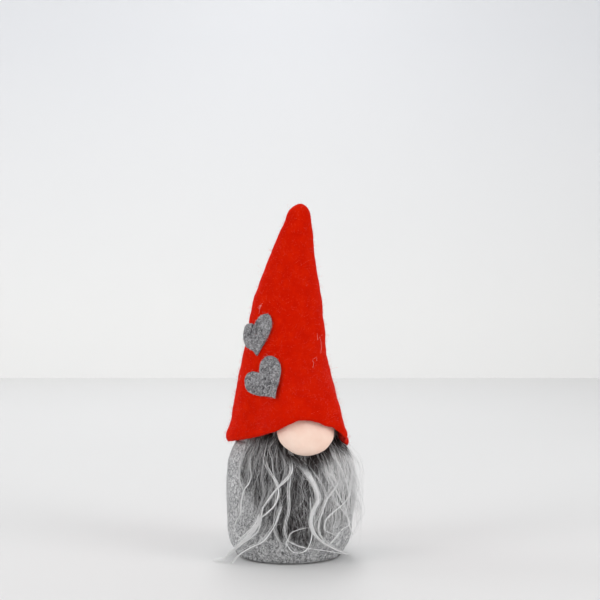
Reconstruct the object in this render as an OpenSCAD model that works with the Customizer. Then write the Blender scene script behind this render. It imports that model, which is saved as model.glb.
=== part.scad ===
// Felt tomte gnome: stuffed body, faux-fur beard, ball nose and a leaning cone hat with two hearts.
// Origin at the middle of the base, on the surface it stands on. +Z up, the nose faces -Y.
// Angles round the body are measured from the nose: 0 is the front, 90 is +X, 180 is the back.

/* [Body] */
// Greatest radius of the stuffed body
body_radius = 35.2; // [34:0.1:36]
// Thickness of the felt
felt = 1.8; // [1.2:0.1:2.2]
// Radius of the flat base disc
base_radius = 27; // [25:0.5:27.5]
// Thickness of the card under the filling
board_thick = 2; // [1:0.5:3]
// Height of the weight bag
bag_height = 26; // [20:1:32]
// Radius of the weight bag
bag_radius = 29; // [24:1:29.5]

/* [Hat] */
// Height of the hat's tip above the floor
hat_tip = 200; // [196:1:205]
// Height of the brim at the back
brim_back = 62; // [61:0.5:63]
// How much higher the brim is at the front
brim_rise = 10.5; // [9:0.5:12]
// Further lift of the brim over the nose
brim_nose_lift = 9.5; // [9:0.5:11]
// How much the brim drops to one side
brim_tilt = 3; // [0:0.5:4]
// Direction that the hat's tip leans to, from +X
lean_angle = -16; // [-40:1:10]
// How far the nose pushes the hat out
nose_push = 15.5; // [15.2:0.1:16.5]

/* [Nose] */
// Width of the nose
nose_w = 32.4; // [28:0.2:34]
// Height of the nose
nose_h = 27; // [24:0.5:28]
// Height of the nose's middle above the floor
nose_z = 74.5; // [74:0.5:76]
// Distance of the nose's middle from the body's axis
nose_out = 33; // [32.5:0.1:34]
// How far the nose's foot stands out, because it lies on the slope of the body
nose_tilt = 2.2; // [1.5:0.1:2.6]
// Depth of the nose in front of its middle
nose_front = 9.2; // [7:0.2:9.2]
// Depth of the nose behind its middle
nose_back = 4; // [3:0.5:4]

/* [Beard] */
// Half the angle that the beard covers
beard_half_angle = 70; // [55:1:76]
// Greatest thickness of the hair
beard_thick = 3.4; // [2:0.1:4.5]
// Thickness of the knitted backing
backing_thick = 0.9; // [0.6:0.1:1.1]
// Height of the backing's lower point
backing_low = 40; // [30:1:50]

/* [Hearts] */
// Width of a heart
heart_w = 24.5; // [20:0.5:26]
// Thickness of a heart
heart_thick = 2; // [1.2:0.1:2.5]
// Angle round the hat of the upper heart
heart_upper_angle = -62; // [-70:1:-50]
// Height of the upper heart
heart_upper_z = 126; // [124:0.5:132]
// Turn of the upper heart
heart_upper_turn = 17; // [-20:1:40]
// Angle round the hat of the lower heart
heart_lower_angle = -38; // [-50:1:-32]
// Height of the lower heart
heart_lower_z = 101; // [99:0.5:104]
// Turn of the lower heart
heart_lower_turn = 41; // [0:1:45]

/* [Thread] */
// Radius of the sewing thread
thread_r = 0.3; // [0.2:0.05:0.4]
// Length of one stitch
stitch_len = 3.2; // [2:0.1:3.6]
// Distance from one stitch to the next
stitch_step = 5; // [4:0.1:6]

/* [Hidden] */

// Clearance between pieces that lie against each other
gap = 0.3;
// Thickness of the bag's cotton and of the nose's jersey
cotton = 0.5;
jersey = 0.8;
// Height where the body's gathered top ends, and the radius of the hole left there
neck_z = 100.5;
neck_r = 6;
// Height of the body cover's lower edge
cover_low = 0.4;

// Body outline: [height, radius] of its outside
BODY = [
    [cover_low, body_radius - 6], [3, body_radius - 4.4], [8, body_radius - 2.2], [15, body_radius - 0.7],
    [27, body_radius], [42, body_radius - 0.1], [53, body_radius - 1.1], [60, body_radius - 3.2],
    [66, 29.1], [72, 26.7], [80, 24.2], [88, 21.6], [95, 17.4], [99, 11.8], [neck_z, neck_r]
];
// Hat outline: [height, radius] of its outside
HAT = [
    [58, 35.3], [64, 34.8], [70, 33.3], [76, 31.4], [84, 29.8], [90, 28.9], [97, 27.6], [104, 25.7],
    [111, 24.2], [127, 22], [145, 19], [165, 13.9], [180, 10.1], [186, 8.3], [192, 6.5]
];
// How far the hat's middle stands to the side that it leans to: [height, distance]
LEAN = [
    [58, -1], [65, -1.2], [75, -1.8], [90, -2.1], [110, -2.7], [128, -2.1], [145, -1.1], [165, 1.1],
    [190, 3.8], [hat_tip, 5.3]
];
// Height of the cone's round end
tip_h = 8;
// Angle round the hat where the nose meets it; the hat's middle stands to the other side
nose_side = 4;

// A smooth curve through [position, value] stations, with the mean slope of its neighbours at each
function station(list, i) = list[max(0, min(len(list) - 1, i))];
function find(list, x, i = 0) = i >= len(list) - 2 || x < list[i + 1][0] ? i : find(list, x, i + 1);
function slope(list, i) =
    let (a = station(list, i - 1), b = station(list, i + 1)) (b[1] - a[1]) / (b[0] - a[0]);
function curve(list, x) =
    let (i = find(list, x), a = list[i], b = list[i + 1], w = b[0] - a[0], t = max(0, min(1, (x - a[0]) / w)))
    a[1] * (1 + 2 * t) * (1 - t) ^ 2 + b[1] * t * t * (3 - 2 * t)
    + w * (slope(list, i) * t * (1 - t) ^ 2 - slope(list, i + 1) * t * t * (1 - t));
// 0 below the first edge, 1 above the second, smooth between
function ease(low, high, x) = let (t = max(0, min(1, (x - low) / (high - low)))) t * t * (3 - 2 * t);
// A bell of height 1 and the given half-width
function bell(x, width) = exp(-(x / width) ^ 2);
// Point at an angle round the body, a radius and a height
function around(angle, r, z) = [r * sin(angle), -r * cos(angle), z];

// Body surface, moved out by a distance along its normal: [radius, height]
function body_at(z, out = 0) =
    let (step = 0.2, lean = (curve(BODY, min(z + step, neck_z)) - curve(BODY, max(z - step, cover_low))) / (2 * step),
         len = sqrt(1 + lean * lean))
    [curve(BODY, z) + out / len, z - out * lean / len];
// Radius of the body at a height, moved out by about that distance
function body_r(z, out = 0) =
    curve(BODY, z) + out * norm([1, (curve(BODY, z + 1) - curve(BODY, z - 1)) / 2]);

// Hat surface: lower edge, radius and point, moved out by a distance
function brim_z(angle) =
    let (a = abs(angle) > 180 ? 360 - abs(angle) : abs(angle))
    brim_back + brim_rise * ((1 + cos(angle)) / 2) ^ 2 + brim_nose_lift * bell(a, 24) - brim_tilt * sin(angle);
function cone_r(z) =
    let (cap = max(0, z - hat_tip + tip_h) / tip_h)
    curve(HAT, min(z, hat_tip - tip_h)) * max(0, 1 - cap * cap) ^ 0.6;
function nose_bump(angle, z) =
    let (turn = angle - nose_side, a = abs(turn) > 180 ? 360 - abs(turn) : abs(turn))
    nose_push * exp(-(a / 38) ^ 4) * (1 - ease(nose_z + 6, nose_z + 42, z));
function hat_point(angle, z, out = 0) =
    let (shift = curve(LEAN, z))
    around(angle, cone_r(z) + nose_bump(angle, z) + out, z) + shift * [cos(lean_angle), sin(lean_angle), 0];

// Closed solid through rings of equally many points, with flat ends. Seen from the last ring's end,
// each ring runs counterclockwise.
module loft(rings) {
    n = len(rings[0]);
    last = (len(rings) - 1) * n;
    walls = [
        for (i = [0:n:last - n], j = [0:n - 1])
            let (a = i + j, b = i + (j + 1) % n)
            each [[a, b + n, b], [a, a + n, b + n]]
    ];
    caps = [[for (j = [0:n - 1]) j], [for (j = [n - 1:-1:0]) last + j]];
    polyhedron([for (ring = rings) each ring], concat(walls, caps), convexity = 8);
}

// Tapering lock of hair along a curve through three points, round and thin
module lock(a, b, c, r) {
    steps = 12;
    sides = 8;
    function at(t) = (1 - t) ^ 2 * a + 2 * t * (1 - t) * b + t * t * c;
    loft([
        for (i = [0:steps])
            let (t = i / steps, p = at(t), d = at(t + 0.01) - at(t - 0.01), dir = d / norm(d),
                 side = cross(dir, [0, 0, 1]) / norm(cross(dir, [0, 0, 1])), up = cross(side, dir),
                 w = r * (1 - 0.8 * t))
            [for (j = [0:sides - 1]) p + w * (cos(360 * j / sides) * side - sin(360 * j / sides) * up)]
    ]);
}

// One stitch: a short straight thread from a to b
module stitch(a, b) {
    d = b - a;
    translate(a) rotate([0, acos(d[2] / norm(d)), atan2(d[1], d[0])])
        cylinder(h = norm(d), r = thread_r, $fn = 16);
}

// Body

// Rounded outline of the bag or of what is in it, drawn in by a distance
module bag_outline(inset) {
    steps = 24;
    h = bag_height / 2;
    low = felt + board_thick + 3 * gap;
    power = 0.55;
    points = [
        for (i = [0:steps]) let (a = -90 + 180 * i / steps, s = sin(a), c = abs(cos(a)))
            [(bag_radius - inset) * c ^ power, low + h + (h - inset) * sign(s) * abs(s) ^ power]
    ];
    polygon(points);
}

module base_board() {
    color("tan") translate([0, 0, felt + gap]) cylinder(h = board_thick, r = base_radius - 0.5, $fn = 96);
}

module base_felt() {
    color("gray") cylinder(h = felt, r = base_radius - gap, $fn = 96);
}

// Barrel of felt, closed in at the top to the gathered neck
module body_cover() {
    steps = 44;
    heights = [for (i = [0:steps]) cover_low + (neck_z - cover_low) * sin(90 * i / steps)];
    outside = [for (z = heights) body_at(z)];
    inside = [
        for (i = [steps:-1:0])
            let (p = body_at(heights[i], -felt)) [max(p[0], neck_r - 2), max(p[1], cover_low)]
    ];
    color("darkgray") rotate_extrude($fn = 96) polygon(concat(outside, inside));
}

// Fibre that fills the barrel round the weight bag
module body_stuffing() {
    steps = 30;
    low = felt + board_thick + 2 * gap;
    high = neck_z - 4;
    heights = [for (i = [0:steps]) low + (high - low) * i / steps];
    color("white") rotate_extrude($fn = 96) difference() {
        polygon(concat([[0, low]], [for (z = heights) [body_r(z, -felt - gap), z]], [[0, high]]));
        bag_outline(-gap / 2);
    }
}

module weight_bag() {
    color("linen") rotate_extrude($fn = 96) difference() {
        bag_outline(gap);
        bag_outline(gap + cotton);
    }
}

module weight_pellets() {
    color("ivory") rotate_extrude($fn = 96) bag_outline(2 * gap + cotton);
}

// Ring of thread that draws the neck closed
module body_gather_thread() {
    color("dimgray") translate([0, 0, neck_z + 0.2]) rotate_extrude($fn = 48)
        translate([neck_r - 3, 0]) circle(r = thread_r, $fn = 16);
}

module body_seam_thread() {
    out = thread_r + 0.05;
    color("dimgray") for (z = [6:stitch_step:56]) {
        a = body_at(z, out);
        b = body_at(z + stitch_len, out);
        stitch(around(180, a[0], a[1]), around(180, b[0], b[1]));
    }
}

// Slanting stitches round the foot
module base_seam_thread() {
    count = 40;
    turn = 3;
    a = body_at(1.2, thread_r + 0.05);
    b = body_at(3.4, thread_r + 0.05);
    color("dimgray") for (i = [0:count - 1])
        stitch(around(360 * i / count, a[0], a[1]), around(360 * i / count + turn, b[0], b[1]));
}

// Beard

// Lower edge of the nose at an angle, and the top edge of the hair that leaves room for nose and brim
function nose_low(angle) =
    let (x = nose_out * sin(angle) / (nose_w / 2))
    abs(x) >= 1 ? nose_z + nose_h : nose_z - nose_h / 2 * sqrt(1 - x * x);
function hair_top(angle) = min(brim_z(angle) + 4 * (1 - ease(-45, -20, angle)), nose_low(angle)) - 1.2;
function hair_low(angle) = 4 + 9 * (angle / beard_half_angle) ^ 2;

// Knitted backing, cut as a shield and laid on the body
module beard_backing() {
    steps = 14;
    low = backing_low;
    high = nose_z + 1;
    inner = [for (i = [0:steps]) let (z = low + (high - low) * i / steps) [body_r(z, 2 * gap), z]];
    outer = [for (i = [steps:-1:0]) let (z = low + (high - low) * i / steps) [body_r(z, 2 * gap + backing_thick), z]];
    side = body_radius * sin(beard_half_angle - 18);
    shield = [[-side, high], [-side, high - 14], [-side / 2, low + 9], [0, low], [side / 2, low + 9],
        [side, high - 14], [side, high]];
    color("gainsboro") intersection() {
        rotate([0, 0, -180]) rotate_extrude(angle = 180, $fn = 96) polygon(concat(inner, outer));
        rotate([90, 0, 0]) linear_extrude(height = 2 * body_radius) polygon(shield);
    }
}

// Thin dots between the backing and the body, tipped to the body's slope there
module beard_glue() {
    z = nose_z - 9;
    thick = 0.4;
    tip = atan((body_r(z + 1) - body_r(z - 1)) / 2);
    color("ivory") for (angle = [-45:22.5:45])
        rotate([0, 0, angle]) translate([0, -body_r(z, gap), z]) rotate([90 + tip, 0, 0])
            cylinder(h = thick, r = 1.8, center = true, $fn = 32);
}

// Hair mass: one closed loop in the height plane for each angle, thin at both sides
module beard_pile() {
    across = 36;
    along = 16;
    foot = 3 * gap + backing_thick;
    loft([
        for (i = [0:across])
            let (angle = beard_half_angle * (1 - 2 * i / across), low = hair_low(angle), high = hair_top(angle),
                 edge = 0.35 + 0.65 * sqrt(max(0, 1 - (angle / beard_half_angle) ^ 2)))
            concat(
                [for (j = [0:along]) let (t = j / along, z = low + (high - low) * t)
                    around(angle, body_r(z, foot + edge * beard_thick * (0.45 + 0.55 * sin(180 * t))), z)],
                [for (j = [along:-1:0]) let (z = low + (high - low) * j / along) around(angle, body_r(z, foot), z)]
            )
    ]);
}

// Loose locks that leave the hair mass and reach the floor
module beard_wisps() {
    out = 2 * gap + backing_thick + beard_thick;
    function start(angle, z, r) = around(angle, body_r(z, out) + r + gap, z);
    color("whitesmoke") {
        lock(start(-30, 42, 1.1), [-24, -36, 12], [-45, -23, 1], 1.1);
        lock(start(-38, 34, 0.9), [-30, -33, 9], [-37, -20, 0.9], 0.9);
        lock(start(14, 36, 0.8), [10, -42, 6], [21, -31, 1], 0.8);
        lock(start(36, 40, 0.8), [32, -32, 16], [31, -27, 5], 0.8);
    }
}

// Nose

// Ring of the nose at a share of its height, drawn in by a distance; flatter behind than in front
function nose_ring(s, inset) =
    let (sides = 40, c = cos(90 * s), w = (nose_w / 2 - inset) * c, out = nose_out - nose_tilt * sin(90 * s))
    [
        for (j = [0:sides - 1])
            let (a = 360 * j / sides, depth = (sin(a) > 0 ? nose_back : nose_front) - inset)
            [w * cos(a), -out + depth * c * sin(a), nose_z + (nose_h / 2 - inset) * sin(90 * s)]
    ];
module nose_solid(inset) {
    steps = 20;
    loft([for (i = [0:steps]) nose_ring(0.985 * (2 * i / steps - 1), inset)]);
}

module nose_cover() {
    color("peachpuff") difference() {
        nose_solid(0);
        nose_solid(jersey);
    }
}

module nose_filling() {
    color("white") nose_solid(jersey + gap / 2);
}

// Lays a shape flat against the back of the nose, a distance behind it
module behind_nose(out) {
    translate([0, -nose_out + nose_back + out, nose_z]) rotate([90 - atan(2 * nose_tilt / nose_h), 0, 0]) children();
}

// Thread behind the nose where the jersey is drawn together
module nose_tie_thread() {
    color("dimgray") behind_nose(thread_r + 0.15)
        rotate_extrude($fn = 48) translate([2.4, 0]) circle(r = thread_r, $fn = 16);
}

module nose_glue() {
    thick = 0.5;
    color("ivory") behind_nose(thick / 2 + 0.3) cylinder(h = thick, r = 1.8, center = true, $fn = 32);
}

// Hat

// Rings up the hat from the brim, moved in by a distance; closer together near the tip
function hat_rings(inset, top, rings = 30, sides = 40) = [
    for (i = [0:rings])
        let (t = 1 - (1 - i / rings) ^ 1.5)
        [
            for (j = [0:sides - 1])
                let (angle = 360 * j / sides, low = brim_z(angle), z = low + (top - low) * t)
                hat_point(angle, z, max(-inset, 0.2 - cone_r(z)))
        ]
];
function reversed(list) = [for (i = [len(list) - 1:-1:0]) list[i]];

module hat_cover() {
    color("crimson") loft(concat(reversed(hat_rings(felt, hat_tip - 3 * felt)), hat_rings(0, hat_tip)));
}

// Lower edge of the fibre in the hat: above the glue dots, the beard's backing and the nose
function fibre_low(angle) =
    let (a = abs(angle) > 180 ? 360 - abs(angle) : abs(angle))
    max(brim_z(angle) + 3 + 4 * ease(70, 90, a) + 8 * exp(-(a / 34) ^ 4), nose_z + 2 - 8 * ease(95, 115, a));

// Light fibre that fills the hat, above the body's gathered top and round its shoulder
module hat_stuffing() {
    sides = 40;
    steps = 18;
    high = hat_tip - 4 * felt;
    angles = [for (j = [0:sides - 1]) 360 * j / sides];
    over_neck = [for (r = [0.5, neck_r]) [for (a = angles) around(a, r, neck_z + 2)]];
    on_shoulder = [
        for (i = [0:steps / 2])
            let (t = (2 * i / steps) ^ 1.5)
            [
                for (a = angles)
                    let (z = neck_z - 1 + (fibre_low(a) - neck_z + 1) * t, p = body_at(z, 2 * gap))
                    around(a, p[0], p[1])
            ]
    ];
    in_hat = [
        for (i = [0:steps])
            [
                for (a = angles)
                    let (low = fibre_low(a), z = low + (high - low) * i / steps)
                    hat_point(a, z, max(-felt - 0.6, 0.3 - cone_r(z)))
            ]
    ];
    color("white") loft(concat(over_neck, on_shoulder, in_hat));
}

module hat_seam_thread() {
    color("firebrick") for (z = [brim_back + 3:stitch_step:hat_tip - 12])
        stitch(hat_point(180, z, thread_r + 0.12), hat_point(180, z + stitch_len, thread_r + 0.12));
}

// Dots between the inside of the hat's brim and the body, each as long as the space there
module hat_glue() {
    color("ivory") for (angle = [135:30:255]) {
        z = brim_z(angle) + 4;
        wall = hat_point(angle, z, -felt);
        inner = body_r(z - 2) + 0.3;
        outer = norm([wall[0], wall[1]]) - 1;
        rotate([0, 0, angle]) translate([0, -inner, z]) rotate([90, 0, 0])
            cylinder(h = max(0.3, outer - inner), r = 2, $fn = 32);
    }
}

// Hearts

// Heart outline of width 2 at a turn of the curve, [across, up]. Its notch is wide and its tip blunt.
function heart_at(t) = [
    sign(sin(t)) * abs(sin(t)) ^ 2.3,
    (13 * cos(t) - 5 * cos(2 * t) - 2 * cos(3 * t) - cos(4 * t)) / 16 + 0.15
];
// Point on a heart that lies on the hat
function heart_point(angle, z, turn, t, share, out) =
    let (p = heart_at(t) * share * heart_w / 2,
         x = p[0] * cos(turn) - p[1] * sin(turn), y = p[0] * sin(turn) + p[1] * cos(turn))
    hat_point(angle + x / cone_r(z + y) * 180 / PI, z + y, out);
// Front from its middle to the outline, then the back to its middle
module heart(angle, z, turn) {
    sides = 40;
    rings = 5;
    face = [for (i = [1:rings]) 0.04 + 0.96 * i / rings];
    shares = concat([0.04], face);
    outs = [for (s = shares) [s, gap + heart_thick - 0.3 * s ^ 6]];
    inner = [for (i = [rings:-1:0]) [shares[i], gap]];
    loft([
        for (ring = concat(outs, inner))
            [for (j = [0:sides - 1]) heart_point(angle, z, turn, 360 * j / sides, ring[0], ring[1])]
    ]);
}

module heart_upper() {
    color("slategray") heart(heart_upper_angle, heart_upper_z, heart_upper_turn);
}

module heart_lower() {
    color("slategray") heart(heart_lower_angle, heart_lower_z, heart_lower_turn);
}

// Short stitch on a heart's face, at a place across and up from its middle
module heart_stitch(angle, z, across, up) {
    out = gap + heart_thick + thread_r + 0.05;
    turn = across / cone_r(z + up) * 180 / PI;
    half = 0.7;
    stitch(hat_point(angle + turn, z + up - half, out), hat_point(angle + turn, z + up + half, out));
}

module heart_upper_stitches() {
    color("dimgray") {
        heart_stitch(heart_upper_angle, heart_upper_z, -4, 0);
        heart_stitch(heart_upper_angle, heart_upper_z, 4.5, 3);
    }
}

module heart_lower_stitches() {
    color("dimgray") {
        heart_stitch(heart_lower_angle, heart_lower_z, 0, -1);
        heart_stitch(heart_lower_angle, heart_lower_z, 4.2, -3);
        heart_stitch(heart_lower_angle, heart_lower_z, 0, -6);
    }
}

base_board();
base_felt();
body_cover();
body_seam_thread();
base_seam_thread();
weight_bag();
weight_pellets();
body_stuffing();
body_gather_thread();
beard_backing();
beard_glue();
beard_pile();
beard_wisps();
nose_cover();
nose_filling();
nose_tie_thread();
nose_glue();
hat_cover();
hat_seam_thread();
hat_stuffing();
hat_glue();
heart_upper();
heart_lower();
heart_upper_stitches();
heart_lower_stitches();
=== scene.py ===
"""Looks of a felt gnome: stuffed grey body, faux-fur beard, jersey nose, leaning red hat and two hearts.

Lengths are in millimetres in the numbers below and in metres in the meshes. Places on the figure are given
as an angle round it from the nose, 0 in front and 90 on +X, a height, and a lift off the surface.
"""

import math

import bpy
import numpy as np
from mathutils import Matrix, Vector
from mathutils.bvhtree import BVHTree
from mathutils.noise import fractal


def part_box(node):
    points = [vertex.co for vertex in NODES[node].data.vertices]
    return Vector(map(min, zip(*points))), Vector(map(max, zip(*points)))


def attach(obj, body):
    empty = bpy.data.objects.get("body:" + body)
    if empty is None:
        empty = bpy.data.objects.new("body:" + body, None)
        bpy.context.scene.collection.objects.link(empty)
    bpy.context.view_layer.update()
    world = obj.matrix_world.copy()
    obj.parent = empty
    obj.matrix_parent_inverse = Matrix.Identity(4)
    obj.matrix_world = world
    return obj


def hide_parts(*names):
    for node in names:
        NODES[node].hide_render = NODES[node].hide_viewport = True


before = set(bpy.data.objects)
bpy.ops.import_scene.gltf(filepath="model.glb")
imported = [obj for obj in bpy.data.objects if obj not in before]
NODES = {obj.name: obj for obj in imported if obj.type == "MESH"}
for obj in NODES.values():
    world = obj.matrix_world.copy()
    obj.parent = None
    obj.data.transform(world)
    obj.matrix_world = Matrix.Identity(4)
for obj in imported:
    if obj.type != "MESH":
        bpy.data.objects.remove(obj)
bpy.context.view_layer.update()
MM = 0.001

# The camera, in metres and degrees: a level view from just above the hat's middle
CAMERA_TURN = -16
CAMERA_AWAY = 0.806
CAMERA_HEIGHT = 0.163
CAMERA_PITCH = 1.25
CAMERA_LENS = 85
CAMERA_SIDE = 0.006
# The wall stands this far behind the figure
WALL_AWAY = 1.31
# Seeds of the random draws. The clumps and the fuzz are given theirs in their calls.
SEEDS = {"undercoat": 31, "locks": 41, "flyaways": 51, "strays": 61, "foot_stitches": 62}
# Angles in degrees: the back seams, and how far round the dense hair and the loose hairs go
BEHIND = 180
DENSE_LEFT, DENSE_RIGHT = -64, 69
HAIR_LEFT, HAIR_RIGHT = -66, 72
# The body's radius at the nose, and halfway up behind
NOSE_AWAY, BACK_AWAY = 33, 35
# The cloth simulation's length in frames, and how much larger than life it is done
PUFF_FRAMES, SIZE_UP = 20, 8
# Corners of a strand's section, and the most faces in one piece of strands
SIDES, MOST_FACES = 3, 85000

# ---------------------------------------------------------------- meshes


def rng(seed):
    return np.random.default_rng(seed)


def columns(random, count):
    """Two ways to draw a number for each of count strands: evenly between two, and round a middle."""
    return (lambda low, high: random.uniform(low, high, (count, 1)),
            lambda middle, spread: random.normal(middle, spread, (count, 1)))


def vectors(data, key):
    out = np.empty(len(data) * 3)
    data.foreach_get(key, out)
    return out.reshape(-1, 3)


def coordinates(obj):
    return vectors(obj.data.vertices, "co")


def normals(obj):
    return vectors(obj.data.vertex_normals, "vector")


def set_coordinates(obj, co):
    obj.data.vertices.foreach_set("co", np.asarray(co, float).ravel())
    obj.data.update()


def add_object(name, mesh):
    obj = bpy.data.objects.new(name, mesh)
    bpy.context.scene.collection.objects.link(obj)
    return obj


def dress(obj, *materials):
    obj.data.materials.clear()
    for m in materials:
        obj.data.materials.append(m)


def mesh_piece(name, verts, faces, *materials, tones=None, smooth=True):
    """A new object from points in metres and faces of equally many corners."""
    verts, faces = np.asarray(verts, float), np.asarray(faces, np.int32)
    me = bpy.data.meshes.new(name)
    me.vertices.add(len(verts))
    me.vertices.foreach_set("co", verts.ravel())
    corners = faces.shape[1]
    me.loops.add(faces.size)
    me.loops.foreach_set("vertex_index", faces.ravel())
    me.polygons.add(len(faces))
    me.polygons.foreach_set("loop_start", np.arange(0, faces.size, corners, dtype=np.int32))
    me.polygons.foreach_set("loop_total", np.full(len(faces), corners, np.int32))
    me.update(calc_edges=True)
    me.validate()
    obj = add_object(name, me)
    dress(obj, *materials)
    if tones is not None:
        me.polygons.foreach_set("material_index", np.asarray(tones, np.int32))
    shade(obj, smooth)
    return obj


def shade(obj, smooth=True):
    obj.data.polygons.foreach_set("use_smooth", np.full(len(obj.data.polygons), smooth))


def apply_modifiers(obj):
    deps = bpy.context.evaluated_depsgraph_get()
    me = bpy.data.meshes.new_from_object(obj.evaluated_get(deps))
    obj.modifiers.clear()
    old, obj.data = obj.data, me
    bpy.data.meshes.remove(old)


def remeshed(node, name, voxel, relax):
    """A new object with a CAD node's shape, in even small faces with softened edges."""
    obj = add_object(name, NODES[node].data.copy())
    obj.data.name = name
    obj.data.materials.clear()
    grid = obj.modifiers.new("even", "REMESH")
    grid.mode = "VOXEL"
    grid.voxel_size = voxel * MM
    soft = obj.modifiers.new("soft", "SMOOTH")
    soft.iterations = relax
    apply_modifiers(obj)
    shade(obj)
    return obj


def subdivide(obj):
    finer = obj.modifiers.new("finer", "SUBSURF")
    finer.levels = finer.render_levels = 1
    apply_modifiers(obj)
    shade(obj)


def tree_of(obj):
    return BVHTree.FromObject(obj, bpy.context.evaluated_depsgraph_get())


def finished(obj, slot, *nodes):
    """Joins a piece to the frame: it rides on the one body and may stand for CAD nodes."""
    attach(obj, "root")
    if nodes:
        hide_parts(*nodes)


def angle_of(points):
    """Angle in degrees round the figure, 0 at the nose."""
    return np.degrees(np.arctan2(points[..., 0], -points[..., 1]))


def ease(low, high, x):
    t = np.clip((np.asarray(x, float) - low) / (high - low), 0, 1)
    return t * t * (3 - 2 * t)


def bell(x, width):
    return np.exp(-((np.asarray(x, float) / width) ** 2))


def lumps(points, size, seed):
    """Smooth noise of about -1 to 1 at points in metres, with lumps of a size in millimetres."""
    shift = Vector((seed * 7.3, seed * 3.1, seed * 5.7))
    return np.array([fractal(Vector(p) / (size * MM) + shift, 0.9, 2.0, 3) for p in points])


def kept_clear(points, tree, gap):
    """Points in metres, each moved straight out from the figure's middle where it is inside the surface
    behind it, or nearer to it than gap millimetres."""
    clear = np.array(points)
    for i, p in enumerate(clear):
        way = Vector((p[0], p[1], 0)).normalized()
        hit = tree.ray_cast(Vector(p) + way * 0.02, -way, 0.05)[0]
        if hit and (Vector(p) - hit).dot(way) < gap * MM:
            clear[i] = hit + way * gap * MM
    return clear


def smooth_path(stations, count):
    """A smooth curve through stations of any dimension, resampled to count points."""
    p = np.asarray(stations, float)
    p = np.vstack([2 * p[0] - p[1], p, 2 * p[-1] - p[-2]])
    spans = len(p) - 3
    at = np.linspace(0, spans - 1e-6, count)
    i = at.astype(int)
    t = (at - i)[:, None]
    a, b, c, d = p[i], p[i + 1], p[i + 2], p[i + 3]
    return 0.5 * (2 * b + (c - a) * t + (2 * a - 5 * b + 4 * c - d) * t**2 + (3 * b - a - 3 * c + d) * t**3)


# ---------------------------------------------------------------- materials


class Nodes:
    """A few lines' worth of shader nodes."""

    def __init__(self, name):
        self.mat = bpy.data.materials.new(name)
        self.mat.use_nodes = True
        self.tree = self.mat.node_tree
        self.shader = self.tree.nodes["Principled BSDF"]
        self.coords = self.tree.nodes.new("ShaderNodeTexCoord").outputs["Object"]

    def node(self, kind, **inputs):
        n = self.tree.nodes.new("ShaderNode" + kind)
        for key, value in inputs.items():
            self.put(n.inputs[key.replace("_", " ")], value)
        return n

    def put(self, socket, value):
        if isinstance(value, bpy.types.NodeSocket):
            self.tree.links.new(value, socket)
        else:
            socket.default_value = value

    def stretched(self, x=1, y=1, z=1, turn=(0, 0, 0)):
        """Object coordinates in millimetres, stretched and turned."""
        n = self.node("Mapping", Vector=self.coords)
        n.inputs["Scale"].default_value = (x / MM, y / MM, z / MM)
        n.inputs["Rotation"].default_value = [math.radians(a) for a in turn]
        return n.outputs["Vector"]

    def noise(self, scale, detail, rough=0.55, warp=0.0, where=None):
        n = self.node("TexNoise", Scale=scale, Detail=detail, Roughness=rough, Distortion=warp)
        self.put(n.inputs["Vector"], where or self.stretched())
        return n.outputs["Fac"]

    def maths(self, operation, a, b):
        n = self.tree.nodes.new("ShaderNodeMath")
        n.operation = operation
        self.put(n.inputs[0], a)
        self.put(n.inputs[1], b)
        return n.outputs[0]

    def ramp(self, fac, *stops):
        n = self.node("ValToRGB", Fac=fac)
        points = n.color_ramp.elements
        while len(points) < len(stops):
            points.new(0.5)
        for point, (at, colour) in zip(points, stops):
            point.position = at
            point.color = (*colour, 1)
        return n.outputs["Color"]

    def mix(self, fac, a, b):
        n = self.tree.nodes.new("ShaderNodeMix")
        n.data_type = "RGBA"
        self.put(n.inputs["Factor"], fac)
        for socket, value in ((n.inputs[6], a), (n.inputs[7], b)):
            self.put(socket, value if isinstance(value, bpy.types.NodeSocket) else (*value, 1))
        return n.outputs[2]

    def axes(self):
        """The X, Y and Z of object coordinates in millimetres, each on its own."""
        n = self.tree.nodes.new("ShaderNodeSeparateXYZ")
        self.put(n.inputs[0], self.stretched())
        return n.outputs

    def times(self, a, b):
        return self.maths("MULTIPLY", a, b)

    def plus(self, a, b):
        return self.maths("ADD", a, b)

    def fade(self, value, start, stop):
        """0 to 1 as a value goes from start to stop, with soft ends."""
        n = self.node("MapRange", Value=value)
        n.interpolation_type = "SMOOTHSTEP"
        n.inputs["From Min"].default_value, n.inputs["From Max"].default_value = start, stop
        return n.outputs["Result"]

    def bump(self, height, strength, depth):
        n = self.node("Bump", Height=height, Strength=strength, Distance=depth * MM)
        self.put(self.shader.inputs["Normal"], n.outputs["Normal"])

    def finish(self, colour, rough, **inputs):
        drawn = isinstance(colour, bpy.types.NodeSocket)
        self.put(self.shader.inputs["Base Color"], colour if drawn else (*colour, 1))
        self.put(self.shader.inputs["Roughness"], rough)
        for key, value in inputs.items():
            self.put(self.shader.inputs[key.replace("_", " ")], value)
        return self.mat


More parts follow.
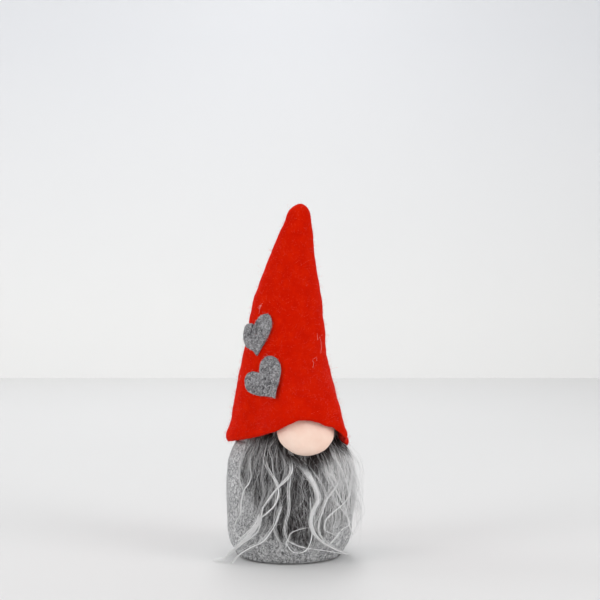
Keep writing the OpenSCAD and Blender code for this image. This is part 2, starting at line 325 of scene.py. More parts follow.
def felt(name, dark, middle, light, fleck, spread, sheen, tint, shine=0.12, relief=0.35, shaded_dents=()):
    """Pressed wool: cloudy patches, crossing fibres in two directions, fine flecks and a soft fuzz.

    fleck is the share of the fibres in its colour and spread how gently that changes. It has painted shade
    where it is drawn in, at shaded_dents of [point in millimetres, width]."""
    n = Nodes(name)
    cloud = n.noise(0.16, 3)
    one = n.noise(1.7, 4, 0.8, 0.2, n.stretched(1, 1, 1.7, (20, 35, 10)))
    two = n.noise(1.7, 4, 0.8, 0.2, n.stretched(1.7, 1, 1, (-25, 10, 60)))
    fibres = n.plus(n.times(one, 0.5), n.times(two, 0.5))
    grain = n.plus(n.times(fibres, 0.6), n.times(n.noise(0.7, 5, 0.85, 0.2), 0.4))
    body = n.plus(n.times(grain, fleck), n.times(cloud, 1 - fleck))
    colour = n.ramp(body, (0.5 - spread, dark), (0.5, middle), (0.5 + spread, light))
    # Painted shade: the colour is pulled towards dark round each of the shaded_dents.
    for point, width in shaded_dents:
        away = n.tree.nodes.new("ShaderNodeVectorMath")
        away.operation = "DISTANCE"
        n.put(away.inputs[0], n.stretched())
        away.inputs[1].default_value = point
        shade = n.fade(away.outputs["Value"], width, width * 0.2)
        colour = n.mix(n.times(shade, 0.85), colour, dark)
    n.bump(n.plus(fibres, n.times(n.noise(4.5, 2), 0.5)), 0.6, relief)
    return n.finish(colour, 0.95, Sheen_Weight=sheen, Sheen_Roughness=0.45, Sheen_Tint=(*tint, 1),
                    Specular_IOR_Level=shine)


def jersey(name):
    """Fine knitted jersey: small upright stitches and a faint blush."""
    n = Nodes(name)
    wide, tall = 0.55, 0.42
    flat = n.axes()
    wale = n.maths("SINE", n.times(flat["X"], 2 * math.pi / wide), 0)
    course = n.maths("SINE", n.times(flat["Z"], 2 * math.pi / tall), 0)
    stitch = n.times(wale, course)
    knit = n.plus(n.times(stitch, 0.35), n.noise(1.2, 4))
    blush = n.ramp(n.noise(0.09, 3), (0.35, (0.88, 0.63, 0.515)), (0.65, (0.92, 0.71, 0.6)))
    colour = n.mix(n.times(n.noise(2.4, 3), 0.16), blush, (0.82, 0.54, 0.43))
    n.bump(knit, 0.35, 0.12)
    return n.finish(colour, 0.85, Sheen_Weight=0.25, Sheen_Roughness=0.5, Sheen_Tint=(1, 0.93, 0.88, 1),
                    Specular_IOR_Level=0.2)


def thread(name, dark, light):
    """Twisted thread: slanting bands along it."""
    n = Nodes(name)
    twist = n.tree.nodes.new("ShaderNodeTexWave")
    twist.bands_direction = "DIAGONAL"
    n.put(twist.inputs["Vector"], n.stretched())
    twist.inputs["Scale"].default_value = 1.6
    twist.inputs["Distortion"].default_value = 1.0
    n.bump(twist.outputs["Fac"], 0.6, 0.1)
    return n.finish(n.ramp(twist.outputs["Fac"], (0.2, dark), (0.8, light)), 0.7, Sheen_Weight=0.2)


def plain(name, dark, light, size, rough, depth=0.1, stretch=(1, 1, 1)):
    """Uneven surface of one stuff, with grains of a size in millimetres."""
    n = Nodes(name)
    grain = n.noise(1 / size, 5, 0.6, 0.6, n.stretched(*stretch))
    n.bump(grain, 0.5, depth)
    return n.finish(n.ramp(grain, (0.35, dark), (0.65, light)), rough)


def hair_tones():
    """Seven tones of one hair, from the roots to the palest ends. Each strand steps through them."""
    tones = ((0.024, 0.018, 0.018), (0.056, 0.046, 0.045), (0.11, 0.103, 0.104), (0.21, 0.208, 0.212),
             (0.39, 0.389, 0.394), (0.66, 0.66, 0.664), (0.93, 0.93, 0.93))
    return [
        Nodes(f"hair_{i}").finish(tone, 0.45, Specular_IOR_Level=0.35, Sheen_Weight=0.08 * i,
                                  Sheen_Roughness=0.35)
        for i, tone in enumerate(tones)
    ]


def undercoat(name):
    """Dense hair seen between the strands: dark with fine upright streaks, paler low and to the right."""
    n = Nodes(name)
    streak = n.noise(1.9, 4, 0.65, 0.8, n.stretched(1, 1, 0.09))
    at = n.axes()
    right, low, ends = n.fade(at["X"], 7, 28), n.fade(at["Z"], 26, 6), n.fade(at["Z"], 60, 44)
    dark = n.ramp(streak, (0.34, (0.015, 0.013, 0.013)), (0.5, (0.04, 0.038, 0.038)),
                  (0.68, (0.12, 0.12, 0.122)))
    pale = n.ramp(streak, (0.34, (0.1, 0.096, 0.096)), (0.5, (0.25, 0.25, 0.252)), (0.68, (0.5, 0.5, 0.504)))
    share = n.maths("MAXIMUM", n.times(right, ends), n.times(low, 0.5))
    n.bump(streak, 0.8, 0.6)
    return n.finish(n.mix(share, dark, pale), 0.8, Sheen_Weight=0.15)


RED_FELT = felt("red_felt", (0.52, 0.007, 0.0004), (0.57, 0.009, 0.0006), (0.62, 0.014, 0.001),
                fleck=0.6, spread=0.1, sheen=0.22, tint=(1, 0.13, 0.12), shine=0.0, relief=0.25)
GREY_FELT = felt("grey_felt", (0.055, 0.055, 0.058), (0.32, 0.321, 0.325), (0.76, 0.761, 0.765),
                 fleck=0.96, spread=0.05, sheen=0.12, tint=(0.95, 0.96, 1))
RED_FUZZ = Nodes("red_fuzz").finish((0.72, 0.035, 0.02), 0.8, Sheen_Weight=0.2)
GREY_FUZZ = Nodes("grey_fuzz").finish((0.5, 0.5, 0.505), 0.8, Sheen_Weight=0.2)
HAIR = hair_tones()

# ---------------------------------------------------------------- the figure's surfaces


def radius_table(node, low, high):
    """Radius of a round CAD node at even heights, found by rays from behind it."""
    tree = tree_of(NODES[node])
    heights = np.linspace(low, high, 80)
    radii = [tree.ray_cast(Vector((0, 0.1, z * MM)), Vector((0, -1, 0)))[0].y / MM for z in heights]
    return heights, np.array(radii)


BODY_Z, BODY_R = radius_table("body_cover", 1.0, 98.0)


def body_radius(z):
    return np.interp(z, BODY_Z, BODY_R)


def place(angle, height, lift):
    """Points in metres at angles, heights and lifts off the body."""
    a = np.radians(angle)
    r = body_radius(height) + lift
    return np.stack([r * np.sin(a), -r * np.cos(a), height + 0 * r], -1) * MM


def brim_table():
    """Height of the hat's lower edge at each angle, from the CAD hat."""
    co = coordinates(NODES["hat_cover"]) / MM
    angle = angle_of(co)
    centres = np.arange(-180, 181, 9)
    away = np.abs((angle[None] - centres[:, None] + 180) % 360 - 180)
    return centres, np.array([co[near < 7, 2].min() for near in away])


BRIM_ANGLE, BRIM_Z = brim_table()
NOSE_LOW, NOSE_HIGH = (np.array(c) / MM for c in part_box("nose_cover"))


def hair_top(angle):
    """Where hair comes out: under the brim, or under the nose in front."""
    brim = np.interp(angle, BRIM_ANGLE, BRIM_Z)
    across = NOSE_AWAY * np.sin(np.radians(angle)) / NOSE_HIGH[0]
    half = (NOSE_HIGH[2] - NOSE_LOW[2]) / 2
    under = (NOSE_LOW[2] + NOSE_HIGH[2]) / 2 - half * np.sqrt(np.clip(1 - across**2, 0, 1))
    return np.where(np.abs(across) < 1, np.minimum(brim, under), brim)


# ---------------------------------------------------------------- stuffed and felt pieces


def puff(obj, pressure, grow, cap, held):
    """Fills a cover by cloth simulation. It is done at a larger size, where the solver is at ease. held is
    the share of each point that stays, and no point moves further than cap millimetres."""
    rest = coordinates(obj)
    set_coordinates(obj, rest * SIZE_UP)
    group = obj.vertex_groups.new(name="held")
    for i, w in enumerate(held):
        if w > 0.01:
            group.add([i], float(w), "REPLACE")
    cloth = obj.modifiers.new("cloth", "CLOTH")
    s = cloth.settings
    s.vertex_group_mass = "held"
    s.use_pressure = True
    s.uniform_pressure_force = pressure
    s.shrink_min = -grow
    s.quality = 5
    s.tension_stiffness = s.compression_stiffness = 20
    s.bending_stiffness = 2
    s.effector_weights.gravity = 0
    cloth.collision_settings.use_collision = False
    scene = bpy.context.scene
    for f in range(1, PUFF_FRAMES + 1):
        scene.frame_set(f)
    moved = np.empty(rest.size)
    deps = bpy.context.evaluated_depsgraph_get()
    obj.evaluated_get(deps).data.vertices.foreach_get("co", moved)
    obj.modifiers.clear()
    obj.vertex_groups.clear()
    scene.frame_set(1)
    move = moved.reshape(-1, 3) / SIZE_UP - rest
    far = np.linalg.norm(move, axis=1, keepdims=True)
    set_coordinates(obj, rest + move * np.minimum(1, cap * MM / np.maximum(far, 1e-9)))


def make_body():
    """Felt barrel: simulated as a filled cover, then the back seam and the foot's pinches."""
    obj = remeshed("body_cover", "body_felt", 1.0, 4)
    z = coordinates(obj)[:, 2] / MM
    puff(obj, 3, 0.02, 1.0, 1 - ease(3, 9, z) * (1 - ease(68, 76, z)))
    co, out = coordinates(obj), normals(obj)
    z = co[:, 2] / MM
    angle = angle_of(co)
    behind = (180 - np.abs(angle)) * np.radians(1) * BACK_AWAY
    free = ease(2, 6, z)
    seam = -0.9 * bell(behind, 0.9) * free + 0.35 * bell(behind - 2.2, 1.4) * free
    pinch = -0.28 * np.maximum(0, np.sin(np.radians(angle * 40))) * bell(z - 3.5, 2.2)
    soft = 0.45 * lumps(co, 16, 3) * free
    set_coordinates(obj, co + out * (seam + pinch + soft)[:, None] * MM)
    dress(obj, GREY_FELT)
    finished(obj, "grey_felt", "body_cover")
    return obj


def make_base():
    obj = remeshed("base_felt", "base_disc", 0.7, 4)
    co, out = coordinates(obj), normals(obj)
    keep = ease(0.3, 1.2, co[:, 2] / MM)
    set_coordinates(obj, co + out * (0.12 * lumps(co, 6, 9) * keep)[:, None] * MM)
    dress(obj, GREY_FELT)
    finished(obj, "grey_felt", "base_felt")


def make_nose():
    """Jersey ball: filled by simulation, a little uneven below where it is drawn in."""
    obj = remeshed("nose_cover", "nose_jersey", 0.8, 6)
    co = coordinates(obj)
    y = co[:, 1] / MM
    puff(obj, 2, 0.01, 0.5, ease(-31, -29.5, y))
    subdivide(obj)
    co, out = coordinates(obj), normals(obj)
    set_coordinates(obj, co + out * (0.28 * lumps(co, 9, 5))[:, None] * MM)
    dress(obj, jersey("peach_jersey"))
    finished(obj, "jersey", "nose_cover")


def make_hat():
    """Felt cone, shaped by hand: soft dents over the filling, a rolled brim and the seam behind."""
    obj = remeshed("hat_cover", "hat_felt", 0.75, 5)
    co, out = coordinates(obj), normals(obj)
    z = co[:, 2] / MM
    x, y = co[:, 0] / MM, co[:, 1] / MM
    angle = angle_of(co)
    along = ease(62, 80, z)
    seam = -0.9 * bell(x + 0.2 - 0.028 * (z - 62), 1.0) * (y > 0)
    dents = 0.55 * lumps(co, 22, 11) + 0.22 * lumps(co, 7, 12)
    right = -0.7 * bell(angle - 60, 28) * bell(z - 116, 6) + 0.5 * bell(angle - 62, 25) * bell(z - 128, 5)
    above = z - np.interp(angle, BRIM_ANGLE, BRIM_Z)
    flare = 1.3 * bell(above - 5.5, 3.5) * bell(angle + 80, 40)
    hem = 0.35 + 0.6 * bell(above - 3, 2.4) - 1.3 * bell(above, 1.3) + flare
    co = co + out * (seam + right + dents * (0.4 + 0.6 * along) + hem)[:, None] * MM
    low_left = 1.0 * bell(angle + 85, 45)
    co[:, 2] -= (1.5 + low_left) * (1 - ease(-2, 16, above)) * (1 - bell(angle - 8, 22)) * MM
    co[:, :2] += 1.0 * ease(165, 200, z)[:, None] * np.array([0.96, -0.28]) * MM
    set_coordinates(obj, co)
    dress(obj, RED_FELT)
    finished(obj, "red_felt", "hat_cover")
    return obj


def make_heart(node, name, behind, dimples, pushes, crease=None):
    """Thick felt heart with soft cut edges and one edge a little lifted, on the surface behind it, with
    painted shade in its dimples and crease.

    Places on it are in millimetres across and up from its middle: dimples are [across, up, depth, width],
    pushes [across, up, width, move across, move up] and the crease [across, lowest, highest, depth]."""
    obj = remeshed(node, name, 0.32, 5)
    co, out = coordinates(obj), normals(obj)
    low, high = (np.array(c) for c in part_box(node))
    middle = (low + high) / 2
    way = np.array([middle[0], middle[1], 0])
    way /= np.linalg.norm(way)
    side = np.array([-way[1], way[0], 0])
    across = (co - middle) @ side / MM
    up = (co[:, 2] - middle[2]) / MM
    front = ease(0.1, 0.7, out @ way)
    move = 0.16 * lumps(co, 4, 21) + 0.08 * lumps(co, 1.4, 22)
    for a, u, depth, width in dimples:
        move -= depth * front * bell(np.hypot(across - a, up - u), width)
    if crease:
        a, lowest, highest, depth = crease
        along_it = ease(lowest, lowest + 2, up) * (1 - ease(highest - 2, highest, up))
        move -= depth * front * bell(across - a, 0.8) * along_it
    co = co + (out * move[:, None] + way * (0.9 * ease(5, 11, across) ** 2)[:, None]) * MM
    for a, u, width, along, upward in pushes:
        share = bell(np.hypot(across - a, up - u), width)[:, None]
        co += share * (along * side + [0, 0, upward]) * MM
    co = kept_clear(co, behind, 0.05)
    set_coordinates(obj, co)

    # Spots of painted shade in the dimples and along the crease, placed on the moved surface.
    def dent_shade_at(a, u, width):
        return co[np.argmin(np.hypot(across - a, up - u) + 9 * (front < 0.5))] / MM, width

    shaded_dents = [dent_shade_at(a, u, 1.8) for a, u, *_ in dimples]
    if crease:
        shaded_dents += [dent_shade_at(a, u, 1.2) for u in np.linspace(lowest + 1, highest, 6)]
    dress(obj, felt(name, (0.03, 0.027, 0.031), (0.175, 0.172, 0.18), (0.5, 0.498, 0.51),
                    fleck=0.94, spread=0.06, sheen=0.12, tint=(0.95, 0.96, 1), shaded_dents=shaded_dents))
    finished(obj, "heart_felt", node)
    return obj


# ---------------------------------------------------------------- hair


def tubes(name, paths, radii, tones, slot, materials, replaced=()):
    """Closed thin three-sided tubes along paths (strand, point, xyz), as one or more pieces under a face
    limit. tones says which material each stretch of each strand has."""
    paths, radii = np.asarray(paths, float), np.asarray(radii, float)
    strands, points = paths.shape[:2]
    way = np.gradient(paths, axis=1)
    way /= np.maximum(np.linalg.norm(way, axis=2, keepdims=True), 1e-12)
    outward = paths * [1, 1, 0] + [0, 0, 1e-5]
    side = np.cross(way, outward)
    side /= np.maximum(np.linalg.norm(side, axis=2, keepdims=True), 1e-12)
    up = np.cross(side, way)
    turn = 2 * math.pi * np.arange(SIDES) / SIDES
    ring = np.cos(turn)[:, None] * side[:, :, None] + np.sin(turn)[:, None] * up[:, :, None]
    verts = paths[:, :, None] + radii[:, :, None, None] * ring
    s, p, k = np.meshgrid(np.arange(strands), np.arange(points - 1), np.arange(SIDES), indexing="ij")
    a = (s * points + p) * SIDES + k
    b = (s * points + p) * SIDES + (k + 1) % SIDES
    quads = np.stack([a, b, b + SIDES, a + SIDES], -1).reshape(strands, -1, 4)
    tones = np.repeat(np.asarray(tones)[:, :, None], SIDES, 2).reshape(strands, -1)
    each = max(1, MOST_FACES // quads.shape[1])
    for number, start in enumerate(range(0, strands, each)):
        stop = min(strands, start + each)
        v = verts[start:stop].reshape(-1, 3)
        f = quads[start:stop].reshape(-1, 4) - start * points * SIDES
        obj = mesh_piece(f"{name}_{number + 1}" if strands > each else name, v, f, *materials,
                         tones=tones[start:stop].ravel())
        close_ends(obj, stop - start, points)
        finished(obj, slot, *(() if number else replaced))


def close_ends(obj, strands, points):
    """Caps both ends of every tube with a triangle, so that each strand is a closed solid."""
    me = obj.data
    first = len(me.polygons)
    corner = len(me.loops)
    root = np.arange(strands)[:, None] * points * SIDES + np.array([2, 1, 0])
    tip = np.arange(strands)[:, None] * points * SIDES + (points - 1) * SIDES + np.array([0, 1, 2])
    caps = np.concatenate([root, tip])
    me.loops.add(caps.size)
    index = np.empty(len(me.loops), np.int32)
    me.loops.foreach_get("vertex_index", index)
    index[corner:] = caps.ravel()
    me.loops.foreach_set("vertex_index", index)
    me.polygons.add(len(caps))
    starts = np.empty(len(me.polygons), np.int32)
    me.polygons.foreach_get("loop_start", starts)
    starts[first:] = corner + 3 * np.arange(len(caps))
    me.polygons.foreach_set("loop_start", starts)
    me.update(calc_edges=True)
    me.validate()


def tones_at(paths, lighter):
    """Tone of each stretch of each strand, as an index into HAIR: dark at its root under the brim, darkest in
    the middle of the beard, paler to the right and near the floor. lighter moves each strand's whole."""
    at = (paths[:, 1:] + paths[:, :-1]) / 2 / MM
    angle = angle_of(at)
    below = hair_top(angle) - at[:, :, 2]
    roots = 4 + 7 * ease(-30, 8, angle)
    raw = -0.3 + 1.3 * ease(0, roots, below) + 3.1 * ease(6, 32, angle) * ease(4, 14, below)
    raw += 0.4 * ease(-50, -62, angle) + 0.6 * ease(26, 8, at[:, :, 2])
    raw -= 0.8 * bell(angle + 12, 10) * ease(6, 16, below)
    raw += np.reshape(lighter, (-1, 1)) * ease(0, roots + 3, below) * (1 + 0.35 * ease(6, 30, angle))
    return np.clip(np.rint(raw), 0, len(HAIR) - 1).astype(int)


def lock_paths(stations, count, spread, waist, end, points, random, wave):
    """Strands of one lock round a guide of [angle, height, lift] stations.

    spread, waist and end are the lock's half-widths in millimetres at its root, middle and tip, and wave is
    how far its strands swing from side to side."""
    guide = smooth_path(stations, points)
    t = np.linspace(0, 1, points)
    width = np.interp(t, [0, 0.35, 0.8, 1], [spread, waist, waist * 0.8, end])
    bundle = random.integers(0, max(3, count // 5), count)

    def each(values, own):
        return values(max(3, count // 5))[bundle][:, None] + own * random.normal(0, 1, (count, 1))

    across = each(lambda n: random.normal(0, 0.55, n), 0.14) * width
    some, near = columns(random, count)
    depth = np.abs(near(0, 0.4)) * width * 0.6
    cycles = each(lambda n: random.uniform(0.8, 2.6, n), 0.1)
    phase = each(lambda n: random.uniform(0, 6.3, n), 0.3)
    across += wave * 0.35 * np.sin(cycles * 2 * math.pi * t + phase) * ease(0, 0.3, t)
    shift = some(-2.0, 2.0) * (1 - ease(0, 0.2, t))
    z = np.maximum(guide[:, 1] + shift, 0.35)
    lift = np.maximum(guide[:, 2] + depth, 0.1)
    angle = guide[:, 0] + np.degrees(across / (body_radius(z) + lift))
    return place(angle, z, lift)


def taper(count, points, thick, random):
    """Radius of each strand at each of its points, in metres, finer towards its tip."""
    t = np.linspace(0, 1, points)
    size = thick * random.uniform(0.75, 1.25, (count, 1))
    return size * (1 - 0.65 * t**2) * MM


def hair_floor(angle):
    """How low the hair reaches at an angle: to the floor in the middle, less far at the sides."""
    return np.interp(angle, [-70, -60, -50, -40, -30, -18, 5, 15, 28, 45, 60, 70],
                     [56, 48, 39, 27, 17, 11, 11, 13, 20, 24, 26, 34])


def make_undercoat(body):
    """The dense hair behind the strands, a lumpy sheet with a ragged foot, closed all round."""
    across, down = 150, 70
    angle = np.linspace(DENSE_LEFT, DENSE_RIGHT, across)[:, None] * np.ones(down)
    top = np.minimum(hair_top(angle) + 2, np.interp(angle, BRIM_ANGLE, BRIM_Z) + 1)
    random = rng(SEEDS["undercoat"])
    tufts = 60
    ragged = np.interp(angle[:, :1], np.linspace(DENSE_LEFT, DENSE_RIGHT, tufts), random.uniform(0, 9, tufts))
    t = np.linspace(0, 1, down)
    z = top + (hair_floor(angle) + ragged + 3 - top) * t
    edge = np.sqrt(np.clip(1 - ((angle - 2.5) / 67) ** 4, 0.01, 1))
    ridge = 0.35 * np.sin(np.radians(angle * 19 + 40 * np.sin(z / 9))) + 0.25 * np.sin(np.radians(angle * 43))
    crown = 1.2 * np.sin(math.pi * np.clip(t * 1.05, 0, 1)) ** 0.7
    lift = 0.9 + edge * (crown + ridge * ease(0, 0.15, t)) * (1 - 0.8 * t**6)
    tree = tree_of(body)
    front = kept_clear(place(angle, z, lift).reshape(-1, 3), tree, 0.45)
    back = kept_clear(place(angle, z, 0.35 + 0 * lift).reshape(-1, 3), tree, 0.1)
    verts = np.concatenate([front, back])
    i, j = np.meshgrid(np.arange(across - 1), np.arange(down - 1), indexing="ij")
    a = i * down + j
    n = across * down
    grid = np.stack([a, a + 1, a + down + 1, a + down], -1).reshape(-1, 4)
    rim = []
    loop = [(i, 0) for i in range(across)] + [(across - 1, j) for j in range(1, down)]
    loop += [(i, down - 1) for i in range(across - 2, -1, -1)] + [(0, j) for j in range(down - 2, 0, -1)]
    for (i0, j0), (i1, j1) in zip(loop, loop[1:] + loop[:1]):
        p, q = i0 * down + j0, i1 * down + j1
        rim.append([p, q, q + n, p + n])
    faces = np.concatenate([grid, grid[:, ::-1] + n, np.array(rim)])
    obj = mesh_piece("beard_undercoat", verts, faces, undercoat("hair_undercoat"))
    finished(obj, "beard_hair", "beard_pile")


def clumps(name, seed, count, each, thick, width, lift, length, swing, lighter, blur, where):
    """Small locks of a few hairs each, all over the beard.

    width is a lock's half-width, lift its height off the body, length the shortest and longest and swing its
    wave sideways, in millimetres. lighter and blur are the middle and spread of the locks' tones. where holds
    the shares that grow on the left, in the middle and on the right."""
    random = rng(seed)
    some, near = columns(random, count)
    points = 15
    t = np.linspace(0, 1, points)
    edges = np.array([[-65, -24], [-24, 5], [5, 69]])
    side = edges[random.choice(3, count, p=where)]
    angle = (side[:, 0] + (side[:, 1] - side[:, 0]) * random.random(count))[:, None]
    top, floor = hair_top(angle) + 1.5, hair_floor(angle)
    root = np.where(some(0, 1) < 0.45, top, floor + (top - floor) * some(0.25, 1))
    foot = np.maximum(root - some(*length), floor + some(-3, 6))
    z = root + (foot - root) * t
    turn = 2 * math.pi / some(24, 46)
    wave = np.sin(turn * z + some(0, 6.3)) + 0.35 * np.sin(2.4 * turn * z + some(0, 6.3))
    aside = swing * some(0.25, 1.1) * (wave - wave[:, :1]) + near(0, 0.09) * (root - z)
    flat = 1 - 0.6 * ease(40, 66, np.abs(angle))
    out = 0.5 + lift * flat * some(0.45, 1.1) * np.sin(math.pi * np.clip(0.1 + 0.8 * t, 0, 1))
    out = np.where(z > top - 2, np.minimum(out, 1.3), out)

    strands = np.repeat(np.arange(count), each)
    total = len(strands)
    some, near = columns(random, total)
    splay = width * (1 + 1.2 * (1 - t) ** 6 + 0.8 * t**3)
    across = near(0, 0.55) * splay
    across += 0.3 * width * np.sin(some(3, 12) * t + some(0, 6.3))
    deep = out[strands] + np.abs(near(0, 0.4)) * width
    high = np.maximum(z[strands] + some(-1.5, 1.5), 0.4)
    round_it = angle[strands] + np.degrees((aside[strands] + across) / (body_radius(high) + deep))
    paths = place(np.clip(round_it, HAIR_LEFT, HAIR_RIGHT), high, deep)
    tones = tones_at(paths, (lighter + random.normal(0, blur, count))[strands] + random.normal(0, 0.9, total))
    tubes(name, paths, taper(total, points, thick, random), tones, "beard_hair", HAIR)


# Locks that stand out, as [angle, height, lift] stations from the root; then strands, half-widths at root,
# middle and end, and how much paler they are than the hair round them
LOCKS = {
    "cross_left": (
        [(-46, 67, 1), (-36, 56, 3.2), (-27, 48, 4.4), (-24, 42, 5), (-27, 35, 5), (-34, 30, 4.8),
         (-42, 25.5, 4.6), (-49, 20, 4.6), (-62, 13, 5)], 20, 2.0, 0.5, 0.8, 4.8),
    "cross_right": (
        [(-16, 60, 1.5), (-14.5, 54, 3), (-18, 49, 4.2), (-26, 43.5, 4.4), (-32, 38, 4.4), (-37, 33, 4.2),
         (-39, 27, 4), (-41, 21, 4.4), (-48, 16, 5), (-60, 11, 6)], 20, 1.6, 0.5, 1.0, 4.2),
    "by_nose": (
        [(-29, 70, 1), (-24, 64, 2.2), (-20, 58, 3.4), (-19, 52, 4), (-22, 47, 4.2), (-27, 41, 4),
         (-29, 32, 3.6)], 14, 1.4, 0.6, 0.8, 2.6),
    "floor_left": (
        [(-39, 28, 4), (-43, 22, 4.6), (-52, 15, 5.4), (-64, 8, 8), (-73, 3.3, 11), (-80, 0.4, 15)],
        44, 1.2, 1.4, 4.5, 5.0),
    "floor_second": (
        [(-22, 34, 3.6), (-24, 29.5, 4), (-27, 24, 4.2), (-32, 18.5, 4.4), (-38, 14, 4.8), (-48, 10.5, 6),
         (-58, 6, 8.5), (-66, 0.5, 12)], 20, 1.0, 0.6, 1.6, 4.4),
    "left_thin": (
        [(-56, 67, 1), (-55, 58, 2.6), (-51, 50.5, 3.2), (-52, 45.5, 3.4), (-57, 41, 3.2), (-60, 34, 3),
         (-61, 28, 3), (-67, 23, 3), (-70, 18.5, 3), (-66, 15.5, 3.2), (-59, 14.5, 3.4)],
        12, 1.4, 0.35, 0.35, 5.0),
    "far_left": (
        [(-65, 66, 1), (-66, 59, 1.8), (-64, 52, 2.4), (-63, 47, 2.8), (-58, 42, 3), (-54, 36, 3)],
        9, 1.2, 0.4, 0.8, 2.8),
    "left_upright": (
        [(-40, 66, 1), (-38, 55, 3), (-38, 48, 3.6), (-36, 41, 3.8), (-39, 34, 3.8), (-42, 25, 3.6)],
        16, 1.8, 0.8, 1.2, 2.2),
    "broad_right": (
        [(-12, 60, 1.5), (-5, 56, 3.2), (1.5, 49.5, 4.4), (6.5, 42.5, 5), (7.5, 37, 5), (3.5, 31.5, 5),
         (1.5, 26, 5), (3, 21, 5), (7, 17, 5), (14, 13, 5), (26, 8.5, 5.5), (42, 4, 7)],
        44, 2.8, 1.3, 0.5, 4.6),
    "middle_hook": (
        [(-16, 50, 2.4), (-17, 43, 3.2), (-16.5, 37, 3.8), (-16.5, 31, 4.2), (-18.5, 25.5, 4.4),
         (-19, 20, 4.6), (-17, 16, 4.8), (-12, 13.5, 5), (-4, 11.5, 5.4), (6, 10, 5.4), (19, 8, 5.4),
         (33, 5.5, 6.5)], 15, 1.4, 0.5, 0.4, 4.6),
    "loop_low": (
        [(2, 37, 3.6), (3, 26, 4), (3, 18, 4.4), (1, 13, 5), (-2, 10, 5.4), (-7, 8.5, 5.6), (-12, 9, 5.6),
         (-16, 11.5, 5.4), (-18, 15.5, 5)], 12, 1.0, 0.35, 0.35, 4.6),
    "loop_high": (
        [(-19, 12, 4.8), (-17.5, 16, 5), (-14.5, 19.5, 5), (-9, 21.5, 4.8), (-3, 22.3, 4.6), (4, 22, 4.2)],
        9, 0.5, 0.3, 0.3, 3.6),
    "right_inner": (
        [(8, 62, 1.5), (15, 54, 3), (22, 49, 4.4), (25, 45, 5), (20, 41, 5), (14.5, 36.5, 5),
         (11.5, 30.5, 5), (8.5, 25, 5), (8.5, 19.5, 5), (13, 14, 5)], 18, 1.8, 0.55, 0.5, 4.4),
    "right_cross": (
        [(14, 60, 1.5), (18, 50, 3.4), (22, 44, 4.6), (26, 38.5, 5.2), (29, 35, 5.4), (34, 30.5, 5.2),
         (38, 25, 5), (42, 20, 4.6), (52, 14, 4)], 15, 1.6, 0.5, 0.4, 4.4),
    "right_upright": (
        [(28, 65, 1), (31, 58, 2.6), (33, 54, 3.6), (36, 48, 4.4), (39, 42, 4.6), (41, 36, 4.4),
         (36, 27, 4)], 17, 2.0, 0.8, 1.0, 2.6),
    "far_right": (
        [(47, 65, 1), (51, 57, 2.4), (52, 52, 3), (46, 47, 4.2), (41, 40, 5), (37, 36, 5.2),
         (28, 32.5, 5.4), (19, 29, 5.2), (13.5, 25, 5), (14, 20.5, 5), (20, 18, 5), (28, 16, 4.6)],
        16, 1.8, 0.5, 0.4, 4.2),
    "right_bow": (
        [(20, 42, 3), (26, 34, 4.2), (34, 28, 4.6), (42, 21.5, 4.6), (32, 19.5, 5), (25, 16, 5),
         (19, 12, 5)], 9, 0.8, 0.35, 0.4, 3.0),
    "side_right": (
        [(50, 64, 1), (53, 54, 2), (50, 44, 2.6), (55, 34, 2.6), (51, 26, 2.4)], 20, 2.4, 1.2, 1.6, 2.0),
    "foot_middle": (
        [(-24, 36, 3), (-27, 28, 3.6), (-27, 20, 4), (-22, 13, 4.4), (-25, 8, 4.8), (-17, 5, 5.2)],
        12, 1.2, 0.8, 1.2, 2.4),
}


def make_locks():
    random = rng(SEEDS["locks"])
    for name, (stations, count, spread, waist, end, lighter) in LOCKS.items():
        points = 6 * len(stations)
        few = max(5, count // 3)
        paths = lock_paths(stations, count, spread, waist, end, points, random, wave=0.7)
        loose = lock_paths(stations, few, spread * 1.4, waist * 3.5, end * 2.5, points, random, wave=2.4)
        radii = np.concatenate([taper(count, points, 0.1, random), taper(few, points, 0.06, random)])
        paths = np.concatenate([paths, loose])
        tones = tones_at(paths, lighter + random.normal(1.0, 0.6, len(paths)))
        tubes(f"lock_{name}", paths, radii, tones, "beard_hair", HAIR,
              replaced=("beard_wisps",) if name == "cross_left" else ())


def make_flyaways():
    """Single hairs that stand off the beard, most on its right."""
    random = rng(SEEDS["flyaways"])
    count, points = 560, 20
    t = np.linspace(0, 1, points)
    some, near = columns(random, count)
    right = random.random((count, 1)) < 0.6
    angle = np.where(right, some(10, HAIR_RIGHT), some(HAIR_LEFT, 20))
    root = np.minimum(hair_top(angle) + 1, some(34, 74))
    z = np.maximum(root - some(12, 34) * t + 2.4 * np.sin(t * some(4, 14)), 0.6)
    sway = near(0, 8) * t + near(0, 3) * np.sin(t * some(6, 18))
    stand = some(1, 4.4) * np.where(right, 1.25, 0.9)
    lift = 1 + (stand + 1.6) * np.sin(t * some(1.6, 3.0)) ** 2
    paths = place(angle + sway, z, lift)
    tones = np.clip(np.rint(near(5.2, 0.8)) + 0 * t[:-1], 2, 6).astype(int)
    tubes("beard_flyaways", paths, taper(count, points, 0.042, random), tones, "beard_hair", HAIR)


